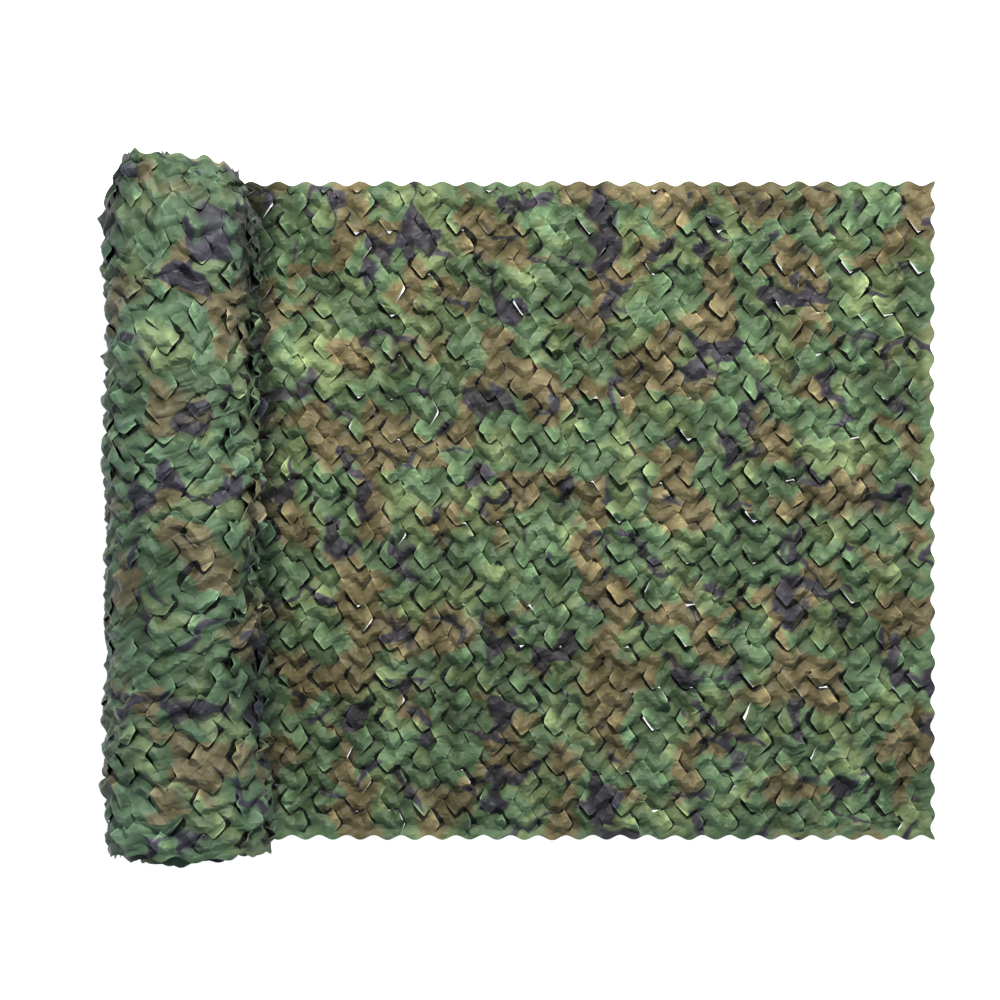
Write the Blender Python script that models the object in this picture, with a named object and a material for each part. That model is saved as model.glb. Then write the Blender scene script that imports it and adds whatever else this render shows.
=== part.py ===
"""Leaf-cut camouflage net: one cloth, part of it wound in a roll and the loose end laid out flat.

The net lies on the ground, +Z up. The roll's axis runs along Y at the -X end, and the loose end
reaches to +X. The origin is on the ground, in the middle of the whole net seen from above.
"""

import math
import random
from collections import namedtuple

import bmesh
import bpy
from mathutils import Vector
from mathutils.geometry import delaunay_2d_cdt

# Driving dimensions, in metres.
NET_WIDTH = 1.504
OVERALL_LENGTH = 1.870
CLOTH_THICKNESS = 0.003
GAP_BETWEEN_PIECES = 0.0003

# Slit lattice of the cloth. Each slit is one S: a tab points to -X at its upper bend and another
# points to +X at its lower bend.
SLIT_COLUMNS = 20
SLIT_ROWS = 14
COLUMN_PITCH = 0.0755
ROW_PITCH = 0.1000
FIRST_COLUMN_X = -0.598
SLIT_OPENING = 0.0058
TAB_LIFT = 0.0085
TAB_REACH = 0.0030
LATTICE_JITTER = 0.0025

# One slit, measured from its upper bend. The side is the hand on which its tab lies, seen along
# the slit from top to bottom: 1 left, -1 right, 0 no tab.
SlitPoint = namedtuple("SlitPoint", "x y side")
SLIT = (
    SlitPoint(x=0.0234, y=0.0327, side=0),
    SlitPoint(x=0.0000, y=0.0000, side=1),
    SlitPoint(x=0.0345, y=-0.0257, side=0),
    SlitPoint(x=0.0689, y=-0.0561, side=-1),
    SlitPoint(x=0.0374, y=-0.0911, side=0),
)

# Scalloped hot-cut edges.
LONG_EDGE_SCALLOP = 0.0625
END_EDGE_SCALLOPS = 26
SCALLOP_DEPTH = 0.011
VALLEY_STARTS = 0.36

# Soft fold ridges across the loose end, where the net was folded before it was wound.
FoldRidge = namedtuple("FoldRidge", "x height width")
FOLD_RIDGES = (
    FoldRidge(x=-0.153, height=0.0050, width=0.045),
    FoldRidge(x=0.083, height=0.0060, width=0.050),
    FoldRidge(x=0.381, height=0.0045, width=0.040),
    FoldRidge(x=0.621, height=0.0055, width=0.050),
)

# The roll, from the end at -Y to the end at +Y. It is wound a little slack, so that it sags to an
# oval and is fatter at the -Y end.
RollStation = namedtuple("RollStation", "along width height")
ROLL_STATIONS = (
    RollStation(along=0.00, width=0.372, height=0.316),
    RollStation(along=0.12, width=0.352, height=0.318),
    RollStation(along=0.50, width=0.340, height=0.312),
    RollStation(along=0.88, width=0.334, height=0.306),
    RollStation(along=1.00, width=0.318, height=0.296),
)
ROLL_LENGTH = 1.512
ROLL_SHARE_CUT_FLAT = 0.055
ROLL_SEGMENTS = 42
ROLL_RINGS = 46
ROLL_SQUARENESS = 2.15
LEAF_RELIEF = 0.0095
LEAF_ROUGHNESS = 0.0035
RIM_RAGGEDNESS = 0.007

# Main turns that show at the roll's two ends.
END_TURNS = 3.5
END_CAP_RINGS = 10
TURN_RELIEF = 0.012
END_DISHING = 0.010

# The sheet runs on under the roll, as far as the cloth starts to climb its far side.
SHEET_UNDER_ROLL_X = -0.850

LEFT_X = -OVERALL_LENGTH / 2
RIGHT_X = OVERALL_LENGTH / 2
ROLL_REST_HEIGHT = CLOTH_THICKNESS + GAP_BETWEEN_PIECES
SEED = 11


def make_material(name, color, roughness):
    """Matt dyed cloth of one main colour."""
    material = bpy.data.materials.new(name)
    material.use_nodes = True
    shader = material.node_tree.nodes["Principled BSDF"]
    shader.inputs["Base Color"].default_value = (*color, 1.0)
    shader.inputs["Roughness"].default_value = roughness
    shader.inputs["Metallic"].default_value = 0.0
    material.diffuse_color = (*color, 1.0)
    return material


def make_object(name, mesh_builder, material):
    """Finish a bmesh as one named object."""
    bmesh.ops.recalc_face_normals(mesh_builder, faces=mesh_builder.faces[:])
    mesh = bpy.data.meshes.new(name)
    mesh_builder.to_mesh(mesh)
    mesh_builder.free()
    mesh.materials.append(material)
    piece = bpy.data.objects.new(name, mesh)
    bpy.context.scene.collection.objects.link(piece)
    return piece


# ---------------------------------------------------------------------------- the loose end

def scalloped_edge(start, end, scallops, outward):
    """Points of a wavy edge from start up to, not with, end: crests on the line, valleys inside."""
    points = []
    for index in range(scallops):
        for share, depth in ((0.0, 0.0), (VALLEY_STARTS, 1.0), (1.0 - VALLEY_STARTS, 1.0)):
            place = start.lerp(end, (index + share) / scallops)
            points.append(place - outward * depth * SCALLOP_DEPTH)
    return points


def sheet_outline():
    """The outline of the loose end, counter-clockwise from its corner at -X and -Y."""
    half = NET_WIDTH / 2
    low_left = Vector((SHEET_UNDER_ROLL_X, -half))
    low_right = Vector((RIGHT_X, -half))
    high_right = Vector((RIGHT_X, half))
    high_left = Vector((SHEET_UNDER_ROLL_X, half))
    long_scallops = round((RIGHT_X - SHEET_UNDER_ROLL_X) / LONG_EDGE_SCALLOP)
    points = scalloped_edge(low_left, low_right, long_scallops, Vector((0, -1)))
    points += scalloped_edge(low_right, high_right, END_EDGE_SCALLOPS, Vector((1, 0)))
    points += scalloped_edge(high_right, high_left, long_scallops, Vector((0, 1)))
    points.append(high_left)
    return points


def slit_outline(bend, opening):
    """The slot round one slit, with the lift of each point: down one side and back up the other."""
    path = [Vector((bend.x + point.x, bend.y + point.y)) for point in SLIT]
    left, right = [], []
    for index in range(1, len(path) - 1):
        before = (path[index] - path[index - 1]).normalized()
        after = (path[index + 1] - path[index]).normalized()
        across = Vector((-before.y - after.y, before.x + after.x)).normalized()
        for bank, hand in ((left, 1), (right, -1)):
            tab = SLIT[index].side == hand
            place = path[index] + across * hand * opening / 2
            if tab:
                place = place - across * hand * TAB_REACH
            bank.append((place, 1.0 if tab else 0.0))
    return [(path[0], 0.0)] + left + [(path[-1], 0.0)] + right[::-1]


def ridge_lift(place):
    """Height of the soft fold ridges at a point of the cloth."""
    lift = 0.0
    for ridge in FOLD_RIDGES:
        offset = abs(place.x - ridge.x) / ridge.width
        if offset < 1.0:
            lift += ridge.height * (1.0 - offset)
    return lift


def make_sheet(material):
    """The loose end: one cloth with its scalloped edge, its slits cut through and their tabs lifted."""
    chance = random.Random(SEED)
    places = sheet_outline()
    lifts = [0.0] * len(places)
    loops = [list(range(len(places)))]
    lattice_height = (SLIT_ROWS - 1) * ROW_PITCH + SLIT[0].y - SLIT[-1].y
    first_row_y = lattice_height / 2 - SLIT[0].y
    for column in range(SLIT_COLUMNS):
        for row in range(SLIT_ROWS):
            bend = Vector((FIRST_COLUMN_X + column * COLUMN_PITCH, first_row_y - row * ROW_PITCH))
            bend.x += chance.uniform(-LATTICE_JITTER, LATTICE_JITTER)
            bend.y += chance.uniform(-LATTICE_JITTER, LATTICE_JITTER)
            opening = SLIT_OPENING * chance.uniform(0.85, 1.25)
            lift = TAB_LIFT * chance.uniform(0.65, 1.25)
            loop = []
            for place, tab in slit_outline(bend, opening):
                loop.append(len(places))
                places.append(place)
                lifts.append(ridge_lift(place) + tab * lift)
            loops.append(loop)

    cut_out = 2
    points, _, triangles, sources, _, _ = delaunay_2d_cdt(places, [], loops, cut_out, 1e-7)
    lift_of = [lifts[source[0]] for source in sources]
    body = bmesh.new()
    under, upper = [], []
    for point, lift in zip(points, lift_of):
        under.append(body.verts.new((point.x, point.y, lift)))
        upper.append(body.verts.new((point.x, point.y, lift + CLOTH_THICKNESS)))
    sides = {}
    for a, b, c in triangles:
        body.faces.new((upper[a], upper[b], upper[c]))
        body.faces.new((under[c], under[b], under[a]))
        for start, end in ((a, b), (b, c), (c, a)):
            sides[(start, end)] = (end, start)
    for (start, end), opposite in sides.items():
        if opposite not in sides:
            body.faces.new((upper[start], under[start], under[end], upper[end]))
    return make_object("net_sheet", body, material)


# ---------------------------------------------------------------------------- the roll

def station_size(along):
    """Width and height of the roll at a share of its length."""
    for low, high in zip(ROLL_STATIONS, ROLL_STATIONS[1:]):
        if along <= high.along:
            share = (along - low.along) / (high.along - low.along)
            width = low.width + share * (high.width - low.width)
            height = low.height + share * (high.height - low.height)
            return width, height
    return ROLL_STATIONS[-1].width, ROLL_STATIONS[-1].height


def oval_point(angle, width, height):
    """A point of the sagged oval, before its foot is cut flat: offsets from its own centre."""
    power = 2.0 / ROLL_SQUARENESS
    x = math.copysign(abs(math.cos(angle)) ** power, math.cos(angle)) * width / 2
    z = math.copysign(abs(math.sin(angle)) ** power, math.sin(angle)) * height / 2
    return x, z


def leaf_relief(step_round, step_along, chance):
    """How far a leaf stands off the roll: every third point of the lattice carries a leaf's tip."""
    tip_left = step_round % 3 == 0 and step_along % 3 == 0
    tip_right = step_round % 3 == 2 and step_along % 3 == 1
    relief = chance.uniform(-LEAF_ROUGHNESS, LEAF_ROUGHNESS)
    if tip_left or tip_right:
        relief += LEAF_RELIEF
    return relief


def make_roll(material):
    """The wound part: a lumpy oval roll on its flat foot, with its main turns at both ends."""
    chance = random.Random(SEED + 1)
    body = bmesh.new()
    rings = []
    for ring in range(ROLL_RINGS + 1):
        along = ring / ROLL_RINGS
        width, height = station_size(along)
        full_height = height / (1.0 - ROLL_SHARE_CUT_FLAT)
        center_x = LEFT_X + LEAF_RELIEF + width / 2
        center_z = ROLL_REST_HEIGHT + height - full_height / 2
        at_rim = ring in (0, ROLL_RINGS)
        verts = []
        for segment in range(ROLL_SEGMENTS):
            angle = 2 * math.pi * segment / ROLL_SEGMENTS - math.pi / 2
            x, z = oval_point(angle, width, full_height)
            relief = leaf_relief(segment, ring, chance)
            reach = 1.0 + relief / math.hypot(x, z)
            y = (along - 0.5) * ROLL_LENGTH
            if at_rim:
                y += math.copysign(chance.uniform(0.0, RIM_RAGGEDNESS), y)
            level = max(center_z + z * reach, ROLL_REST_HEIGHT)
            verts.append(body.verts.new((center_x + x * reach, y, level)))
        rings.append(verts)
    for low, high in zip(rings, rings[1:]):
        bridge(body, low, high)
    cap_end(body, rings[0], -1)
    cap_end(body, rings[-1], 1)
    return make_object("net_roll", body, material)


def bridge(body, low, high):
    """Join two rings of the same number of points."""
    count = len(low)
    for index in range(count):
        after = (index + 1) % count
        body.faces.new((low[index], low[after], high[after], high[index]))


def cap_end(body, rim, hand):
    """Close one end of the roll with a coil of its main turns, hand -1 at -Y and 1 at +Y."""
    center = sum((vert.co for vert in rim), Vector()) / len(rim)
    center.y = hand * ROLL_LENGTH / 2
    outer = rim
    for ring in range(1, END_CAP_RINGS):
        reach = 1.0 - ring / END_CAP_RINGS
        inner = []
        for index, vert in enumerate(rim):
            place = center.lerp(vert.co, reach)
            turn = END_TURNS * reach - hand * index / len(rim)
            ridge = 0.5 + 0.5 * math.cos(2 * math.pi * turn)
            place.y = center.y - hand * (TURN_RELIEF * (1.0 - ridge) + END_DISHING * (1.0 - reach))
            inner.append(body.verts.new(place))
        bridge(body, outer, inner)
        outer = inner
    hub = body.verts.new((center.x, center.y - hand * (END_DISHING + TURN_RELIEF), center.z))
    for index, vert in enumerate(outer):
        body.faces.new((vert, outer[(index + 1) % len(outer)], hub))


def center_on_origin(pieces):
    """Shift all pieces alike, so that the origin is in the middle of the whole net from above."""
    places = [vert.co for piece in pieces for vert in piece.data.vertices]
    middle_x = (min(place.x for place in places) + max(place.x for place in places)) / 2
    middle_y = (min(place.y for place in places) + max(place.y for place in places)) / 2
    for place in places:
        place.x -= middle_x
        place.y -= middle_y


def main():
    for piece in list(bpy.data.objects):
        bpy.data.objects.remove(piece, do_unlink=True)
    sheet = make_sheet(make_material("net_cloth_flat", (0.115, 0.175, 0.085), 0.62))
    roll = make_roll(make_material("net_cloth_wound", (0.085, 0.140, 0.070), 0.66))
    center_on_origin((sheet, roll))
    roll.data.shade_smooth()
    roll.data.set_sharp_from_angle(angle=math.radians(50))
    sheet.data.shade_flat()


main()
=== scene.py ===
"""Looks of the camouflage net: one leaf-cut cloth, partly wound, its loose end laid out flat.

The cloth is drawn flat first: its outline with the wavy hot-cut edges, and its lattice of S-shaped
slits. Each slit frees two square tongues of cloth, the leaves. The drawing is triangulated, opened
along the slits, given its relief, and only then laid on the ground or wound into the roll.
"""
import math

import bpy
import numpy as np
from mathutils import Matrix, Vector
from mathutils.geometry import delaunay_2d_cdt
from mathutils.kdtree import KDTree


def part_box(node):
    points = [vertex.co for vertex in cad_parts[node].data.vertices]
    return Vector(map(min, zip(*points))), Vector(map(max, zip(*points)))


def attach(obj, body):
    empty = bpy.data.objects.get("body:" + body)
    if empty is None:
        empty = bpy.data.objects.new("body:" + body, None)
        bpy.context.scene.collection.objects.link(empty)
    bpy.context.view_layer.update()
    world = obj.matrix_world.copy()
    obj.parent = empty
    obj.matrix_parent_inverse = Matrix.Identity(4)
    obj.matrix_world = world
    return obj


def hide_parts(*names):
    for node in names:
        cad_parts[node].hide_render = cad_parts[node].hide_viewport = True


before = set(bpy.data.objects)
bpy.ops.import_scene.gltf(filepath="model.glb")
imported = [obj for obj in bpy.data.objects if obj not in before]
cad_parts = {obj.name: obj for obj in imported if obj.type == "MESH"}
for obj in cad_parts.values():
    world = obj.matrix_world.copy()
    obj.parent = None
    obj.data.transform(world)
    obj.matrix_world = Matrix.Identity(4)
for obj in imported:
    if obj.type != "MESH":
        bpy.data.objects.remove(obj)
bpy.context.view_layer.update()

SHEET_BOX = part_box("net_sheet")
ROLL_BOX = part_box("net_roll")

# ---- sizes, in metres

NET_WIDTH = SHEET_BOX[1][1] - SHEET_BOX[0][1]
END_PAST_SHEET = 0.0040
RIGHT_X = SHEET_BOX[1][0] + END_PAST_SHEET
CLOTH_THICKNESS = 0.0009
SCALLOP_DEPTH = 0.011
LONG_EDGE_SCALLOP = 0.0625
END_EDGE_SCALLOP = 0.0578

# The lattice of slits: its pitch, the upper bend of its first slit, and how many leaves differ.
COLUMN_PITCH = 0.0755
ROW_PITCH = 0.0945
LATTICE_X = 0.876
LATTICE_Y = 0.662
LATTICE_COLUMNS = 160
LATTICE_ROWS = 18

# One slit from top to bottom, measured from its upper bend, and the radius of each bend.
SLIT_BENDS = (
    ((0.0234, 0.0327), 0.0),
    ((0.0000, 0.0000), 0.008),
    ((0.0257, -0.0327), 0.004),
    ((0.0456, -0.0187), 0.004),
    ((0.0689, -0.0561), 0.008),
    ((0.0374, -0.0911), 0.0),
)
# Two corners of the box round a slit's upper bend in which the slit acts.
SLIT_REACH = ((-0.02, -0.11), (0.09, 0.05))
EDGE_BAND = 0.016
PLAIN_MARGIN = 0.004
SHORTEST_SLIT_POINTS = 4

# How finely the drawing is triangulated. Start, jitter and spacing are shares of the grid's step.
SLIT_STEP = 0.0085
GRID_STEP = 0.0108
WOUND_GRID_STEP = 0.0086
EDGE_STEP = 0.0070
BACKING_STEP = 0.018
GUIDE_OFFSET = 0.0032
GRID_START = 0.3
GRID_JITTER = 0.18
LEAST_SPACING = 0.52
GRID_SEED = 5
SPOT_SHARE = 0.2
MERGE_DISTANCE = 1e-7

# How the leaves and the cloth round them part along a slit, and how wide the painted shade in its gaps,
# the painted highlight on leaf rims and the painted leaf shade run.
RELIEF_RUN_IN = 0.014
LIFT_RANGE = (0.2, 1.7)
UNDER_DEPTH = 0.0045
LEAST_OPENING = 0.4
BEND_RANGE = (0.9, 1.9)
DIP_DEPTH = 0.0050
DIP_WIDTH = 0.0130
DIP_TILT = 0.75
FOLD_REACH = 0.010
FOLD_SPREAD = 0.6
FOLD_ANGLE = math.radians(38.0)
FOLD_ANGLE_SPREAD = math.radians(26.0)
CURL_HALF_WIDTH = 0.022
CURL_BALANCE = 0.35
RIBBON_ZIGZAG = 0.016
TUCK = 0.0055
DRAW_BACK = 0.30
LEAST_SHARE = 0.15
MOST_SHARE = 1.15
GAP_SHADE_UNIT = 0.0080
GAP_SHADE_TAPER = 1.3
LEAST_GAP_SHADE = 0.35
GAP_SHADE_SPREAD = 2.3
RIM_HIGHLIGHT_WIDTH = 0.0016
LEAF_SHADE_RUN_IN = 0.5
PRINT_SHIFT = 0.0065
OVERLAP_SLIDE = 0.0045
SLIDE_SPREAD = 0.4
PARTED_SHARE = 0.17
PARTED_SLIDE = 0.0165
LEAST_PARTING = 0.6

# Layers of soft unevenness, and crumpled facets: each is a strength, a size and a seed.
LAID_DRIFT_X = ((0.0050, 0.24, 21), (0.0030, 0.10, 27))
LAID_DRIFT_Y = ((0.0050, 0.24, 22), (0.0040, 0.09, 28))
LAID_WAVES = ((0.0030, 0.22, 23), (0.0030, 0.075, 24))
LAID_EDGE_WAVES = ((0.0035, 0.09, 26),)
WOUND_WAVES = ((0.0050, 0.17, 41), (0.0030, 0.07, 42))
WOUND_DRIFT_X = ((0.0080, 0.12, 45),)
WOUND_DRIFT_Y = ((0.0160, 0.13, 49),)
WOUND_END_SHIFT = ((0.008, 0.55, 31), (0.008, 0.11, 32))
GATHER_DRIFT = ((0.012, 0.15, 48),)
SHADE_UNEVENNESS = ((0.45, 0.15, 51),)

LAID_CRUMPLE = (0.0088, 0.041, 25)
WOUND_CRUMPLE = (0.0042, 0.056, 43)
END_RAGGED_OUT = (0.0090, 0.031, 44)
END_RAGGED_ALONG = (0.0072, 0.029, 50)

# The loose end on the ground. Each faint fold is its place, its height and its half width.
GROUND_CLEARANCE = 0.0010
REST_HEIGHT = 0.0095
LAID_RIBBON = 0.0052
LAID_EDGE_HOLD = 0.16
CRUMPLE_RUN_IN = 0.03
RIBBON_RUN_IN = 0.05
FOLD_RIDGES = ((-0.153, 0.005, 0.034), (0.083, 0.006, 0.038),
               (0.381, 0.005, 0.030), (0.621, 0.006, 0.038))
# Painted shade along the faint folds: its darkness and its width.
FOLD_SHADE = 0.30
FOLD_SHADE_WIDTH = 0.011

# The roll. Its stations and the pairs of its two ends run from -Y to +Y.
ROLL_Y = (-0.756, -0.575, 0.0, 0.575, 0.756)
ROLL_WIDTHS = (0.379, 0.353, 0.335, 0.331, 0.329)
ROLL_HEIGHTS = (0.316, 0.318, 0.312, 0.306, 0.296)
ROLL_INSET = 0.0152
ROLL_LEFT_X = ROLL_BOX[0][0] + ROLL_INSET
ROLL_RIGHT_X = ROLL_LEFT_X + ROLL_WIDTHS[2]
ROLL_FOOT_Z = 0.0020
ROLL_SHARE_CUT_FLAT = 0.055
ROLL_SQUARENESS = 2.15
FOOT_ANGLE = math.radians(241.0)
FOOT_SOFTNESS = 0.004
FOOT_LEFT_X = -0.840
TURN_PITCH = 0.0105
COIL_TURNS = 14.0
COIL_POINTS = 6000
COIL_ANGLE_STEP = 0.01
WOUND_STRETCH = 1.13
END_ROUNDING = (0.04, 0.28)
END_ROUNDING_Y = (0.62, 0.80)
END_SPREAD = (0.004, 0.020)
END_SLANT = (0.006, 0.013)
END_SPREAD_FROM_Y = 0.35
END_FLARE = 0.035
END_DRIFT_HOLD = 0.10

# The relief of the wound cloth, on its sides and where it lies on the ground.
LEFT_SIDE_LIFT = -0.35
RIGHT_SIDE_LIFT = 0.8
SIDE_BULGE = 0.5
WOUND_RIBBON = 0.0048
FOOT_RUN_IN = 0.06
UNDERSIDE = (0.35, 0.9)
UNDERSIDE_FLATTENING = 0.85
OUTER_LOWEST = -0.0060
INNER_HIGHEST = 0.0025
REST_SOFTNESS = 0.0012
INNER_LUMPS = 0.6
COIL_LUMPS = 0.45

# Gathers run slanting over the roll, drawn out along it.
GATHER = 0.0092
GATHER_NOISE = (0.030, 47)
GATHER_SLANT = 0.45
GATHER_SHORTENING = 0.22
GATHER_BALANCE = 0.35

# More leaves hang open on the roll's right side.
OPEN_ANGLES = (math.radians(62.0), math.radians(-35.0))
OPEN_SIDE_SHARE = 0.65
OPEN_PUSH = (0.005, 0.016)
OPEN_LIFT = 1.2
OPEN_SEED = 77

# Painted shade in the crease, on the roll's sides, below it, at its far end and inside the coil's ends,
# less of it on raised leaves, and painted shade on low cloth and painted light on high cloth.
LEFT_SHADE = 0.68
RIGHT_SHADE = 0.65
RIGHT_SHADE_SLOPE = 0.30
UNDER_SHADE = 0.45
FAR_END_SHADE = 0.55
FAR_END_Y = (0.40, 0.72)
COIL_END_PAINTED_SHADE = (0.005, 0.05)
LEAF_LIGHT = 0.35
LAID_RAISED = 0.012
WOUND_RAISED = 0.010
CREASE_PAINTED_SHADE = 0.93
CREASE_SHADE_X = (ROLL_RIGHT_X - 0.01, ROLL_RIGHT_X + 0.047)
LAID_HEIGHT_SHADE = {"wave_share": 0.4, "middle": 0.003, "span": 0.010, "most": 0.6}
WOUND_HEIGHT_SHADE = {"wave_share": 0.35, "middle": 0.0005, "span": 0.013, "most": 0.7}

# Where the cloth is parted into pieces, out of sight, and where its relief on the ground begins.
SEAM_X = -0.760
SEAM_OVERLAP = 0.02
LAID_FROM_X = (FOOT_LEFT_X + 0.14, FOOT_LEFT_X + 0.22)
OUTER_TURN_RUN = 1.16
BACKING_RUN = 1.05
END_STRIP = 0.122

# Print colours, as linear reflectance, and how strong the painted shade in gaps, on leaves and in deep
# places and the painted highlight on leaf rims are.
GREEN = (0.096, 0.157, 0.078, 1.0)
LIGHT_GREEN = (0.162, 0.210, 0.092, 1.0)
BROWN = (0.163, 0.132, 0.064, 1.0)
DARK = (0.0405, 0.0365, 0.0465, 1.0)
GAP_SHADE_DARKNESS = 0.05
PAINTED_SHADE_STRENGTH = 0.62
RIM_HIGHLIGHT_STRENGTH = 1.05
PAINTED_SHADE_DARKNESS = 0.90
# Each channel's share under painted deep shade, in dark tones that are mostly painted shade, and on the
# roll, where painted shade makes the cloth a little darker and bluer.
SHADE_TINTS = {"Red": (0.84, 0.97, 0.88), "Green": (1.0, 1.0, 0.93), "Blue": (1.30, 0.74, 1.02)}

# Creases of the cloth.
WRINKLE_SLANT = math.radians(28.0)
WRINKLE_STRETCH = 2.6
LAID_WRINKLES = 0.50
WOUND_WRINKLES = 1.0
PLEAT_STRENGTH = 1.3
SMALL_CREASE_STRENGTH = 0.16
THREAD_STRENGTH = 0.03
SHARP_ANGLE = math.radians(19.0)

# Lamp, with its power in watts, sky, floor and camera.
KEY_POWER = 237.0
KEY_SIZE = 0.45
KEY_PLACE = (0.15, 2.7, 3.2)
KEY_COLOUR = (1.0, 0.97, 0.90)
SKY_AT_HORIZON = 0.045
SKY_OVERHEAD = 0.48
SKY_COLOUR = (0.74, 0.90, 1.08, 1.0)
FLOOR_TONES = ((0.90, 0.90, 0.90, 1.0), (0.92, 0.92, 0.92, 1.0))
FLOOR_GLOW = 0.85
FLOOR_REACH = 1000.0
CAMERA_PLACE = (-0.053, 0.024, 4.5)
VIEW_WIDTH = 2.289


# ---- random relief

NOISE_CELLS = 256
NOISE_OFFSET = (97.3, 61.7)
CRUMPLE_OFFSET = (83.1, 71.9)
CRUMPLE_BEND = 0.25
CRUMPLE_BEND_SIZE = 1.3
CRUMPLE_TURN = (0.80, 0.60)
CRUMPLE_LENGTH = 1.4


def random_cells(gx, gy, seed):
    """Each point's place in its cell of a grid, and random values at the cell's four corners."""
    table = np.random.default_rng(seed).uniform(-1.0, 1.0, (NOISE_CELLS + 1, NOISE_CELLS + 1))
    ix, iy = np.floor(gx).astype(int), np.floor(gy).astype(int)
    fx, fy = gx - ix, gy - iy
    ix, iy = ix % NOISE_CELLS, iy % NOISE_CELLS
    return fx, fy, table[ix, iy], table[ix + 1, iy], table[ix, iy + 1], table[ix + 1, iy + 1]


def smooth_noise(x, y, size, seed):
    """Soft random relief from -1 to 1, whose bumps are about one size across."""
    fx, fy, corner, right, up, far = random_cells(
        x / size + NOISE_OFFSET[0], y / size + NOISE_OFFSET[1], seed)
    fx, fy = fx * fx * (3 - 2 * fx), fy * fy * (3 - 2 * fy)
    return (corner * (1 - fx) + right * fx) * (1 - fy) + (up * (1 - fx) + far * fx) * fy


def layered(x, y, layers):
    """Sum of soft random reliefs, from rows of strength, size and seed."""
    return sum(strength * smooth_noise(x, y, size, seed) for strength, size, seed in layers)


def crumple(x, y, strength, size, seed):
    """Flat facets with sharp creases between them, as in cloth that was folded small."""
    bend = CRUMPLE_BEND * size
    bend_x = x + bend * smooth_noise(x, y, size * CRUMPLE_BEND_SIZE, seed + 1)
    bend_y = y + bend * smooth_noise(x, y, size * CRUMPLE_BEND_SIZE, seed + 2)
    cos, sin = CRUMPLE_TURN
    fx, fy, corner, right, up, far = random_cells(
        (bend_x * cos + bend_y * sin) / size + CRUMPLE_OFFSET[0],
        (bend_y * cos - bend_x * sin) / (CRUMPLE_LENGTH * size) + CRUMPLE_OFFSET[1], seed)
    below = corner + (right - corner) * fx + (far - right) * fy
    above = corner + (far - up) * fx + (up - corner) * fy
    return strength * np.where(fx > fy, below, above)


def softly_above(value, least, softness):
    """The value, eased off where it would fall below the least."""
    return least + softness * np.logaddexp(0.0, (value - least) / softness)


def rise(value, low, high):
    """Smooth step from 0 at low to 1 at high."""
    share = np.clip((value - low) / (high - low), 0.0, 1.0)
    return share * share * (3 - 2 * share)


# ---- one slit

def rounded_path(bends, step):
    """Points along the slit with its bends rounded, and each bend's place among them."""
    corners = [np.array(place) for place, _ in bends]
    points, marks = [corners[0]], [0]
    for index in range(1, len(corners) - 1):
        corner, radius = corners[index], bends[index][1]
        back = corners[index - 1] - corner
        ahead = corners[index + 1] - corner
        back /= np.linalg.norm(back)
        ahead /= np.linalg.norm(ahead)
        half = math.acos(np.clip(back @ ahead, -1, 1)) / 2
        start = corner + back * radius / math.tan(half)
        end = corner + ahead * radius / math.tan(half)
        inward = (back + ahead) / np.linalg.norm(back + ahead)
        middle = corner + inward * radius * (1 / math.sin(half) - 1)
        points += straight(points[-1], start, step)
        marks.append(len(points))
        points += [middle, end]
    points += straight(points[-1], corners[-1], step)
    marks.append(len(points) - 1)
    return np.array(points), marks


def straight(start, end, step):
    """Points from start, left out, to end along a straight run."""
    count = max(1, round(float(np.linalg.norm(end - start)) / step))
    return [start + (end - start) * k / count for k in range(1, count + 1)]


SLIT, SLIT_MARKS = rounded_path(SLIT_BENDS, SLIT_STEP)
CORNERS = [np.array(place) for place, _ in SLIT_BENDS]


class Tongue:
    """One leaf of a slit: its outline, its root line, and how far each point is from that root."""

    def __init__(self, outline, root_start, root_end, tip):
        self.outline = outline
        self.root = root_start
        self.along = (root_end - root_start) / np.linalg.norm(root_end - root_start)
        normal = np.array((-self.along[1], self.along[0]))
        self.normal = normal if (tip - root_start) @ normal > 0 else -normal
        self.reach = (tip - root_start) @ self.normal
        self.center = outline.mean(axis=0)

    def holds(self, x, y):
        """Which points lie inside the tongue."""
        inside = np.zeros(x.shape, bool)
        for (ax, ay), (bx, by) in zip(self.outline, np.roll(self.outline, -1, axis=0)):
            if ay == by:
                continue
            crosses = (ay > y) != (by > y)
            inside ^= crosses & (x < (bx - ax) * (y - ay) / (by - ay) + ax)
        return inside

    def share(self, x, y):
        """0 at the root line, 1 at the far corner."""
        away = (x - self.root[0]) * self.normal[0] + (y - self.root[1]) * self.normal[1]
        return np.clip(away / self.reach, 0.0, MOST_SHARE)

    def side(self, x, y):
        """Offset along the root line from the tongue's middle, in metres."""
        return (x - self.center[0]) * self.along[0] + (y - self.center[1]) * self.along[1]

    def edge(self, x, y):
        """Distance to the tongue's free edge, the share of its nearest point, and the way to it."""
        away = np.full(x.shape, np.inf)
        near = np.zeros((len(x), 2))
        for (ax, ay), (bx, by) in zip(self.outline[:-1], self.outline[1:]):
            length2 = (bx - ax) ** 2 + (by - ay) ** 2
            along = np.clip(((x - ax) * (bx - ax) + (y - ay) * (by - ay)) / length2, 0.0, 1.0)
            here = np.stack([ax + along * (bx - ax), ay + along * (by - ay)], axis=1)
            closer = np.hypot(x - here[:, 0], y - here[:, 1]) < away
            near[closer] = here[closer]
            away = np.hypot(x - near[:, 0], y - near[:, 1])
        way = near - np.stack([x, y], axis=1)
        return away, self.share(near[:, 0], near[:, 1]), way / np.maximum(away, 1e-6)[:, None]


LEFT_TONGUE = Tongue(SLIT[:SLIT_MARKS[3] + 1], CORNERS[0], CORNERS[3], CORNERS[1])
RIGHT_TONGUE = Tongue(SLIT[SLIT_MARKS[2]:], CORNERS[5], CORNERS[2], CORNERS[4])


# ---- drawing the flat cloth

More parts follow.
